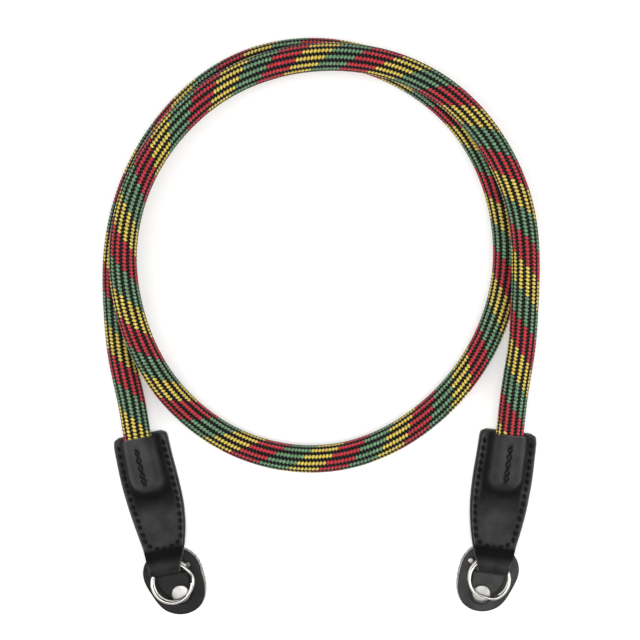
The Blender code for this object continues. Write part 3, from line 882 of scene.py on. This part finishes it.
def front_row(end, along, settings, section, spots):
    """Across, height, painted shade and crown lightening of the front layer's face at one distance from the
    mouth.
    """
    share = along / end.length
    wide = half_width(end, along)
    offsets = section[0] * wide / (end.width / 2)
    margin = settings.back_margin * float(1 - ramp(share, *MARGIN_RAMP))
    offsets = np.where(offsets < 0, offsets * (1 - margin / wide), offsets)
    across = offsets + bow_at(end, along)
    bulge = section[1] * bulge_share(along, offsets)
    in_row = float(ramp(along, settings.centre_from - FURROW_LEAD, FURROW_RUN)
                   * (1 - ramp(along, settings.centre_to, FURROW_RUN)))
    furrow = np.exp(-((offsets - end.centre_seam) / FURROW[0]) ** 2) * in_row
    dents = nearness(across, along, spots, STITCH_DENT[0])
    edges = nearness(across, along, np.array([(across[0], along), (across[-1], along)]), EDGE_DENT[0])
    height = lift_at(share) + float(ramp(share, *LOOP_RAMP)) * SLOT + 2 * settings.thickness + bulge
    for depth, near in ((STITCH_DENT[1], dents), (FURROW[1], furrow), (EDGE_DENT[1], edges)):
        height -= depth * near
    for j, x in enumerate(across):
        height[j] += UNEVENNESS * noise.noise((x * 170, along * 150, end.side * 4.0))

    # Painted shade for the face's colour: full at the stitch dents, and set by its share in the furrow, on
    # the neck and in the hollow beside the bulge. The crown gets paler with its height.
    raised = bulge / section[1].max()
    neck = np.full(COLUMNS, ramp(share, *NECK_START) * (1 - ramp(share, *NECK_END)))
    hollow = (1 - ramp(np.abs(offsets), *HOLLOW_SIDE)) * (1 - ramp(raised, *HOLLOW_FOOT))
    hollow = hollow * (1 - ramp(along, *HOLLOW_END))
    painted_shade_share = np.maximum.reduce([dents, FURROW_PAINTED_SHADE * furrow, NECK_PAINTED_SHADE * neck,
                                  HOLLOW_PAINTED_SHADE * hollow])
    return across, height, painted_shade_share, CROWN_LIGHTENING * raised


def face_height(end, here, *parts):
    across, height, _, _ = front_row(end, here[1], *parts)
    return float(np.interp(here[0], across, height))


def leather_body(end, settings, section, spots):
    """The folded strip: a grid that runs from the back's mouth round the fold to the front's mouth."""
    fold_radius = settings.thickness + SLOT / 2
    straight = end.length - fold_radius
    back = [(along, half_width(end, along + FRONT_MOUTH), lift_at(along / end.length))
            for along in np.linspace(0.0, straight, BACK_ROWS)]
    for step in range(1, FOLD_STEPS):
        angle = pi * step / FOLD_STEPS
        along = straight + fold_radius * sin(angle)
        back.append((along, half_width(end, along), PAD_RISE + fold_radius - fold_radius * cos(angle)))
    places = []
    marks = []
    for along, wide, height in back:
        across = np.linspace(-wide, wide, COLUMNS) + bow_at(end, along)
        places += [(x, along, height) for x in across]
        marks.append(np.zeros((2, COLUMNS)))
    for along in np.linspace(straight, FRONT_MOUTH, round((straight - FRONT_MOUTH) / ROW_STEP)):
        across, height, dark, wear = front_row(end, along, settings, section, spots)
        places += [(x, along, z) for x, z in zip(across, height)]
        marks.append((dark, wear))

    matrix = end_matrix(end)
    rows = len(marks)
    faces = [(a, a + COLUMNS, a + COLUMNS + 1, a + 1)
             for i in range(rows - 1) for a in range(i * COLUMNS, (i + 1) * COLUMNS - 1)]
    body = mesh_piece(end.name + "_leather", [matrix @ Vector(place) for place in places], faces)
    columns = np.arange(COLUMNS)
    away = np.minimum(np.minimum(columns, columns[::-1])[None, :],
                      np.minimum(np.arange(rows), np.arange(rows)[::-1])[:, None])
    # The two outer rows are paler: worn leather edges, with a painted highlight along them.
    rubbed = np.where(away == 0, EDGE_WEAR_AND_PAINTED_HIGHLIGHT[0], np.where(away == 1, EDGE_WEAR_AND_PAINTED_HIGHLIGHT[1], 0.0))
    painted_shade_share, wear = np.array(marks).transpose(1, 0, 2)
    mark_points(body, "rubbed", np.maximum(rubbed, wear))
    # The painted shade of each row, kept on the points for the leather's colour.
    mark_points(body, "sewn", painted_shade_share)
    return body


def add_wall(body, thickness):
    wall = body.modifiers.new("wall", "SOLIDIFY")
    wall.thickness = thickness
    wall.offset = -1.0
    wall.use_even_offset = False
    wall.material_offset_rim = 1
    edges = body.modifiers.new("edges", "BEVEL")
    edges.width = 0.00026
    edges.segments = 2
    edges.limit_method = "ANGLE"
    edges.angle_limit = radians(50)
    edges.use_clamp_overlap = True


def stitch_model(long, thick):
    """One stitch: a tapered twist of thread that bows up between its two holes."""
    deselect_all()
    bpy.ops.mesh.primitive_uv_sphere_add(segments=10, ring_count=8, radius=0.5, location=(0, 0, 0))
    stitch = bpy.context.object
    for vertex in stitch.data.vertices:
        x, y, z = vertex.co
        ridge = 1 + 0.16 * cos(2 * (atan2(y, x) - 2.2 * pi * z))
        vertex.co = (z * long, x * thick * ridge, y * thick * ridge)
    return stitch


def centre_thread(end, settings, section, spots):
    """Two loose strands, twisted round each other in the furrow over the rope."""
    matrix = end_matrix(end)
    strands = []
    for start in (0.0, pi):
        places = []
        for share in (i / THREAD_STEPS for i in range(THREAD_STEPS + 1)):
            along = settings.centre_from + (settings.centre_to - settings.centre_from) * share
            angle = start + 2 * pi * settings.centre_twists * share + 0.8 * sin(7.0 * share)
            loose = settings.thread * (0.70 + 0.80 * abs(cos(2.5 * pi * share)))
            x = end.centre_seam + bow_at(end, along) + loose * cos(angle)
            sunk = 0.0007 * float(1 - ease(min(share, 1 - share) / 0.06))
            z = face_height(end, (x, along), settings, section, spots) + 0.4 * loose * sin(angle) - sunk
            places.append(matrix @ Vector((x, along, z + THREAD_LIFT)))
        strands.append(wire_mesh("thread", places, settings.thread / 2, 2))
    return strands


def sew_seam(end, settings, stitches, *parts):
    """The stitches of the seam and the thread over the rope, as one mesh."""
    model = stitch_model(settings.stitch_length, settings.stitch_width)
    # The list here gathers the seam's thread pieces.
    sewn = centre_thread(end, settings, *parts)
    for here, run in stitches:
        height = face_height(end, here, settings, *parts) + STITCH_LIFT
        turn = Matrix.Rotation(atan2(run[1], run[0]) + STITCH_SLANT * end.side, 4, "Z")
        stitch = put_in_scene("stitch", model.data.copy())
        stitch.data.transform(end_matrix(end) @ Matrix.Translation((*here, height)) @ turn)
        sewn.append(stitch)
    bpy.data.objects.remove(model)
    return join_pieces(end.name + "_seam_thread", sewn)


class STRAP_OT_leather_ends(bpy.types.Operator):
    """Fold and sew the two leather ends round the rope and the rings"""
    bl_idname = "strap.leather_ends"
    bl_label = "Leather Ends"

    def execute(self, context):
        settings = context.scene.strap_leather
        face = leather_material("black_leather", tuple(settings.face), 0.48, tuple(settings.worn))
        raw = raw_edge_material("raw_leather_edge", tuple(settings.edge))
        thread = thread_material("black_thread", tuple(settings.thread_colour))
        for end in ENDS:
            section = bulge_section(end, settings)
            stitches = seam_stitches(end, settings)
            spots = np.array([here for here, _ in stitches])
            body = leather_body(end, settings, section, spots)
            body.data.materials.append(face)
            body.data.materials.append(raw)
            add_wall(body, settings.thickness - LAYER_GAP)
            face_outwards(body)
            apply_modifiers(body)
            shade_smooth(body, radians(40))
            finish_piece(body, "black_leather", end.name + "_leather_end")

            seam = sew_seam(end, settings, stitches, section, spots)
            seam.data.materials.clear()
            seam.data.materials.append(thread)
            face_outwards(seam)
            seam.data.shade_smooth()
            finish_piece(seam, "black_leather")
        return {"FINISHED"}


# Split rings


TURN_GAP = 0.00015
TURN_SHIFT = 0.0007
RIVET_TOP = 0.0039
RING_STEP = radians(40)
RING_END_GAP = radians(5)
RING_POINTS = 221
RING_CLEARANCE = 0.0003


def ring_lie(metal, leather):
    """Height of a ring's middle and its lean. One side is in the slot's middle, the other on the rivet."""
    slot_side = (metal.ring_diameter - metal.wire) / 2
    rivet_side = metal.ring_diameter / 2 - metal.wire - TURN_SHIFT / 2
    slot_height = PAD_RISE + leather.thickness + SLOT / 2
    rivet_height = RIVET_TOP + RING_CLEARANCE + metal.wire + TURN_GAP / 2
    lean = atan2(rivet_height - slot_height, slot_side + rivet_side)
    return slot_height + slot_side * tan(lean), -lean


def coil_places(end, metal):
    """The wire's middle line: two turns, with a step from the lower one to the upper one."""
    radius = (metal.ring_diameter - metal.wire) / 2
    first = end.step_angle + RING_STEP / 2 + RING_END_GAP
    last = end.step_angle + 4 * pi - RING_STEP / 2 - RING_END_GAP
    step_start = end.step_angle + 2 * pi - RING_STEP / 2
    places = []
    for angle in np.linspace(first, last, RING_POINTS):
        level = float(ramp(angle, step_start, RING_STEP)) - 0.5
        x = radius * cos(angle) + level * TURN_SHIFT * cos(end.shift_angle)
        y = radius * sin(angle) + level * TURN_SHIFT * sin(end.shift_angle)
        places.append(Vector((x, y, level * (metal.wire + TURN_GAP))))
    return places


class STRAP_OT_split_rings(bpy.types.Operator):
    """Wind the two polished split rings"""
    bl_idname = "strap.split_rings"
    bl_label = "Split Rings"

    def execute(self, context):
        metal = context.scene.strap_metal
        steel = metal_material("polished_steel", tuple(metal.steel), 0.30, 0.10)
        height, lean = ring_lie(metal, context.scene.strap_leather)
        for end in ENDS:
            turn = Matrix.Rotation(end.tilt, 4, "Z") @ Matrix.Rotation(lean, 4, "X")
            placed = Matrix.Translation(fold_place(end, end.ring, height)) @ turn
            places = [placed @ place for place in coil_places(end, metal)]
            ring = wire_mesh(end.name + "_ring_wire", places, metal.wire / 2, 5)
            shade_smooth(ring, radians(50))
            ring.data.materials.append(steel)
            finish_piece(ring, "polished_steel", end.name + "_split_ring")
        return {"FINISHED"}


# Pads and tongues


PAD_WIDTH = 0.0224
PAD_LENGTH = 0.0250
TONGUE_LOW = 0.0018
TONGUE_HIGH = 0.0028
TONGUE_WIDTH = 0.0118
TONGUE_ROUND = 0.0041
# Points round a pad and a tongue
PAD_POINTS = 240
TONGUE_POINTS = 160
# A slab's rim: shares of its height at which it is cut, and insets of its top from the rim inwards
RIM_RISES = (0.45, 0.35, 0.20)
TOP_INSETS = (0.018, 0.03, 0.05, 0.08, 0.12, 0.16, 0.20, 0.20)
RIM_ROUNDING = 0.00012
# The spread of the foot from which on the side wall shows its raw leather
WIDE_SPREAD = 0.00012
# The side on which a pad's raw edge shows, outwards and towards the fold
SUEDE_SIDE = np.array((-0.92, -0.38))


def closed_outline(corners, count):
    """Evenly spaced points on a smooth closed curve through the corners."""
    around = np.concatenate((corners[-3:], corners, corners[:4]))
    knots = lengths_along(around)
    slopes = spline_slopes(around, knots)
    fine = np.linspace(knots[3], knots[3 + len(corners)], 20 * count)
    reach = lengths_along(spline_at(around, knots, slopes, fine))
    even = np.linspace(0.0, 1.0, count, endpoint=False) * reach[-1]
    return spline_at(around, knots, slopes, np.interp(even, reach, fine))


def pad_outline(end):
    corners = [(end.pad[0] + x * PAD_WIDTH / 2, end.length - end.pad[1] - y * PAD_LENGTH / 2)
               for x, y in PAD_OUTLINE]
    return closed_outline(np.array(corners), PAD_POINTS)


def tongue_outline(end):
    middle = end.ring[0]
    corners = [(middle + x * TONGUE_WIDTH, y * TONGUE_WIDTH) for x, y in TONGUE_EDGE]
    for angle in np.radians(np.linspace(-30, -180, 9)):
        corners.append((end.rivet[0] + TONGUE_ROUND * cos(angle), end.rivet[1] + TONGUE_ROUND * sin(angle)))
    corners.append((middle - 0.50 * TONGUE_WIDTH, TONGUE_EDGE[0][1] * TONGUE_WIDTH))
    corners = np.array([(x, end.length - y) for x, y in corners])
    loop = np.concatenate((corners, corners[:1]))
    even = np.linspace(0.0, lengths_along(loop)[-1], TONGUE_POINTS, endpoint=False)
    outline = np.stack([np.interp(even, lengths_along(loop), loop[:, i]) for i in range(2)], axis=1)
    for _ in range(3):
        outline = (np.roll(outline, 1, axis=0) + 2 * outline + np.roll(outline, -1, axis=0)) / 4
    return outline


def outline_slab(name, end, outline, low, high, materials, raw_width=0.0):
    """A flat slab with a rounded rim: a unit disc whose rim is moved on to the outline.

    The foot of the rim spreads by up to raw_width on the suede side. The side walls have the second
    material, and the third where the foot spreads wide."""
    count = len(outline)
    middle = outline.mean(axis=0)

    def spread_at(outward):
        return raw_width * max(float(outward @ SUEDE_SIDE), 0.0) ** 1.3

    slab = round_circle(name, count, 1.0)
    for rise in RIM_RISES:
        raise_rim(rise)
    for step in TOP_INSETS:
        bpy.ops.mesh.inset(thickness=step, depth=0.0)
    close_edit()
    for material in materials:
        slab.data.materials.append(material)

    rim_share = []
    for vertex in slab.data.vertices:
        x, y, z = vertex.co
        share = min(sqrt(x * x + y * y), 1.0)
        turn = (atan2(y, x) / (2 * pi) % 1.0) * count
        before = int(turn) % count
        rim = outline[before] + (turn - int(turn)) * (outline[(before + 1) % count] - outline[before])
        outward = (rim - middle) / np.linalg.norm(rim - middle)
        place = middle + (rim - middle) * share
        spread = spread_at(outward)
        ragged = 1 + 0.5 * noise.noise((rim[0] * 1900, rim[1] * 1900, 3.0))
        foot = outward * (1 - z) * share * (RIM_ROUNDING + spread * ragged)
        place = place + foot - outward * spread * share
        height = low + z * (high - low)
        rim_share.append(1.0)
        if z > 0.99:
            away = np.linalg.norm(rim - middle) * (1 - share)
            height = high - RIM_ROUNDING * float(1 - ease(away / 0.0005))
            height += 0.00008 * noise.noise((place[0] * 260, place[1] * 260, end.side * 2.0))
            rim_share[-1] = float(1 - ease(away / 0.0006))
        vertex.co = (*place, height)
    # rim marks the darker band along the top's edge: edge paint, and on the tongues also painted shadow.
    mark_points(slab, "rim", rim_share)

    for polygon in slab.data.polygons:
        outward = np.array(polygon.center[:2]) - middle
        outward = outward / max(np.linalg.norm(outward), 1e-9)
        lower = polygon.center.z < low + 0.85 * (high - low)
        if abs(polygon.normal.z) <= 0.97 and polygon.center.z <= high - 0.0002:
            polygon.material_index = 2 if lower and spread_at(outward) > WIDE_SPREAD else 1
    slab.data.transform(end_matrix(end))
    face_outwards(slab)
    shade_smooth(slab, radians(40))
    return slab


class STRAP_OT_ring_pads(bpy.types.Operator):
    """Cut the egg-shaped leather pads that lie under the rings"""
    bl_idname = "strap.ring_pads"
    bl_label = "Ring Pads"

    def execute(self, context):
        settings = context.scene.strap_leather
        worn = tuple(settings.worn)
        edge = leather_material("pad_edge", tuple(settings.dark_edge), 0.5, worn)
        suede = raw_edge_material("pad_suede_edge", tuple(settings.suede))
        for end in ENDS:
            # The pad's colour and shine are scaled down on the left and up on the right: painted shade and
            # painted light on copies of one leather.
            colour = shade(settings.pad_face, end.pad_tone)
            face = leather_material(end.name + "_pad_leather", colour, 0.55, worn, 0.30 * end.pad_tone)
            pad = outline_slab(end.name + "_pad", end, pad_outline(end), 0.0, settings.pad_thickness,
                               (face, edge, suede), settings.suede_width)
            finish_piece(pad, "pad_leather", end.name + "_ring_pad")
        return {"FINISHED"}


class STRAP_OT_pad_tongues(bpy.types.Operator):
    """Cut the leather tongues that lie on the pads, inside the rings"""
    bl_idname = "strap.pad_tongues"
    bl_label = "Pad Tongues"

    def execute(self, context):
        settings = context.scene.strap_leather
        worn = tuple(settings.worn)
        edge = leather_material("tongue_edge", tuple(settings.dark_edge), 0.5, worn)
        for end in ENDS:
            # The tongue takes its pad's painted shade and light, a little darker still.
            tone = end.pad_tone * 0.9
            colour = shade(settings.pad_face, tone)
            face = leather_material(end.name + "_tongue_leather", colour, 0.50, worn, 0.28 * tone)
            tongue = outline_slab(end.name + "_tongue", end, tongue_outline(end), TONGUE_LOW, TONGUE_HIGH,
                                  (face, edge))
            finish_piece(tongue, "pad_leather", end.name + "_pad_tongue")
        return {"FINISHED"}


# Rivets and studs


RIVET_SHANK = 0.0030
RIVET_SEAT = TONGUE_HIGH + 0.0003
STUD_SHANK = 0.0013
STUD_HEIGHT = 0.0009
SHANK_FOOT = 0.0003
RIVET_PROFILE = [(0.86, 0.00), (0.96, 0.04), (1.00, 0.30), (0.985, 0.55), (0.94, 0.78), (0.84, 0.90),
                 (0.60, 0.96), (0.30, 0.99), (0.10, 1.00)]
STUD_PROFILE = [(0.90, 0.00), (1.00, 0.15), (1.00, 0.50), (0.93, 0.78), (0.75, 0.93), (0.35, 1.00),
                (0.10, 1.00)]


def fastener(name, place, steps, shank, seat, top, head, shares):
    """A shank up from just over the floor, and a head of the given shares of its radius and height."""
    profile = [(shank / 2, seat)] + [(out * head / 2, seat + up * (top - seat)) for out, up in shares]
    out, height = shank / 2, SHANK_FOOT
    piece = round_circle(name, steps, out, (*place[:2], height))
    for next_out, next_height in profile:
        raise_rim(next_height - height)
        share = next_out / out
        bpy.ops.transform.resize(value=(share, share, 1.0), center_override=(*place[:2], next_height))
        out, height = next_out, next_height
    close_edit()
    make_active(piece)
    bpy.ops.object.transform_apply(location=True, rotation=True, scale=True)
    face_outwards(piece)
    shade_smooth(piece, radians(35))
    return piece


class STRAP_OT_rivets_and_studs(bpy.types.Operator):
    """Set the large tongue rivets and the small studs"""
    bl_idname = "strap.rivets_and_studs"
    bl_label = "Rivets and Studs"

    def execute(self, context):
        metal = context.scene.strap_metal
        nickel = metal_material("brushed_nickel", tuple(metal.nickel), 0.34, 0.12)
        # The left stud gets a darker, rougher copy of the nickel.
        darker_nickel = metal_material("dull_nickel", shade(metal.nickel, 0.4), 0.40, 0.30)
        for end in ENDS:
            rivet = fastener(end.name + "_rivet", fold_place(end, end.rivet), 64, RIVET_SHANK, RIVET_SEAT,
                             RIVET_TOP, metal.rivet_head, RIVET_PROFILE)
            rivet.data.materials.append(nickel)
            finish_piece(rivet, "brushed_nickel", end.name + "_tongue_rivet")

            stud = fastener(end.name + "_stud", fold_place(end, end.stud), 40, STUD_SHANK, PAD_RISE,
                            PAD_RISE + STUD_HEIGHT, metal.stud_head, STUD_PROFILE)
            stud.data.materials.append(nickel if end.side > 0 else darker_nickel)
            finish_piece(stud, "brushed_nickel", end.name + "_pad_stud")
        return {"FINISHED"}


# Studio


# Where the photograph's middle lies, and where the lights aim
CAMERA_PLACE = (-0.001875, 0.073851)
LIGHTS_AIM = Vector((0.0, 0.07, 0.0))
FLOOR_PLACE = (0.0, 0.07, -0.0001)
FLOOR_SIZE = 12.0
# Soft boxes over the strap: name, place, sides and power
STUDIO_LIGHTS = [
    ("overhead", (0.0, 0.01, 0.95), (0.90, 0.80), 3.8),
    ("near_camera", (0.0, 0.0, 0.80), (0.50, 0.30), 1.1),
    ("left_side", (-0.85, 0.01, 0.85), (0.80, 0.80), 7.5),
    ("right_side", (0.85, 0.01, 0.85), (0.80, 0.80), 7.5),
]


class STRAP_OT_studio(bpy.types.Operator):
    """Set up the camera straight above, the plain pale floor and the soft light"""
    bl_idname = "strap.studio"
    bl_label = "Studio"

    def execute(self, context):
        studio = context.scene.strap_studio
        deselect_all()
        bpy.ops.object.camera_add(location=(*CAMERA_PLACE, studio.camera_height), rotation=(0, 0, 0))
        camera = context.object
        camera.name = "camera"
        camera.data.lens = studio.focal_length
        camera.data.sensor_width = 36.0
        camera.data.clip_start = 0.01
        camera.data.dof.use_dof = False
        context.scene.camera = camera

        deselect_all()
        bpy.ops.mesh.primitive_plane_add(size=FLOOR_SIZE, location=FLOOR_PLACE)
        floor = context.object
        floor.name = "floor"
        look = Look("floor_white", tuple(studio.floor), 0.9)
        look.set("Specular IOR Level", 0.0)
        look.set("Emission Color", (1.0, 1.0, 1.0, 1.0))
        look.set("Emission Strength", studio.floor_glow)
        floor.data.materials.append(look.material)

        world = bpy.data.worlds.new("studio")
        world.use_nodes = True
        world.node_tree.nodes["Background"].inputs["Color"].default_value = (1.0, 1.0, 1.0, 1.0)
        world.node_tree.nodes["Background"].inputs["Strength"].default_value = studio.surroundings
        context.scene.world = world
        context.scene.view_settings.view_transform = "Standard"

        for name, place, size, watts in STUDIO_LIGHTS:
            bpy.ops.object.light_add(type="AREA", location=place)
            light = context.object
            light.name = name
            light.data.shape = "RECTANGLE"
            light.data.size, light.data.size_y = size
            light.data.energy = watts
            light.rotation_euler = (LIGHTS_AIM - Vector(place)).to_track_quat("-Z", "Y").to_euler()
        return {"FINISHED"}


class STRAP_PT_looks(bpy.types.Panel):
    """The strap's pieces and settings"""
    bl_idname = "STRAP_PT_looks"
    bl_label = "Camera Strap"
    bl_space_type = "VIEW_3D"
    bl_region_type = "UI"
    bl_category = "Strap"

    def draw(self, context):
        layout = self.layout
        for operator in OPERATORS:
            layout.operator(operator.bl_idname)
        for name in SETTINGS:
            settings = getattr(context.scene, name)
            box = layout.box()
            for value in settings.bl_rna.properties:
                if value.identifier not in {"rna_type", "name"}:
                    box.prop(settings, value.identifier)


OPERATORS = [
    STRAP_OT_studio, STRAP_OT_rope, STRAP_OT_leather_ends, STRAP_OT_split_rings, STRAP_OT_ring_pads,
    STRAP_OT_pad_tongues, STRAP_OT_rivets_and_studs,
]
SETTINGS = {
    "strap_rope": StrapRopeSettings,
    "strap_leather": StrapLeatherSettings,
    "strap_metal": StrapMetalSettings,
    "strap_studio": StrapStudioSettings,
}


def register():
    for group in SETTINGS.values():
        bpy.utils.register_class(group)
    for operator in OPERATORS:
        bpy.utils.register_class(operator)
    bpy.utils.register_class(STRAP_PT_looks)
    for name, group in SETTINGS.items():
        setattr(bpy.types.Scene, name, bpy.props.PointerProperty(type=group))


def unregister():
    for name in SETTINGS:
        delattr(bpy.types.Scene, name)
    bpy.utils.unregister_class(STRAP_PT_looks)
    for operator in reversed(OPERATORS):
        bpy.utils.unregister_class(operator)
    for group in reversed(list(SETTINGS.values())):
        bpy.utils.unregister_class(group)


def main():
    register()
    for operator in OPERATORS:
        group, name = operator.bl_idname.split(".")
        getattr(getattr(bpy.ops, group), name)()


if __name__ == "__main__":
    main()
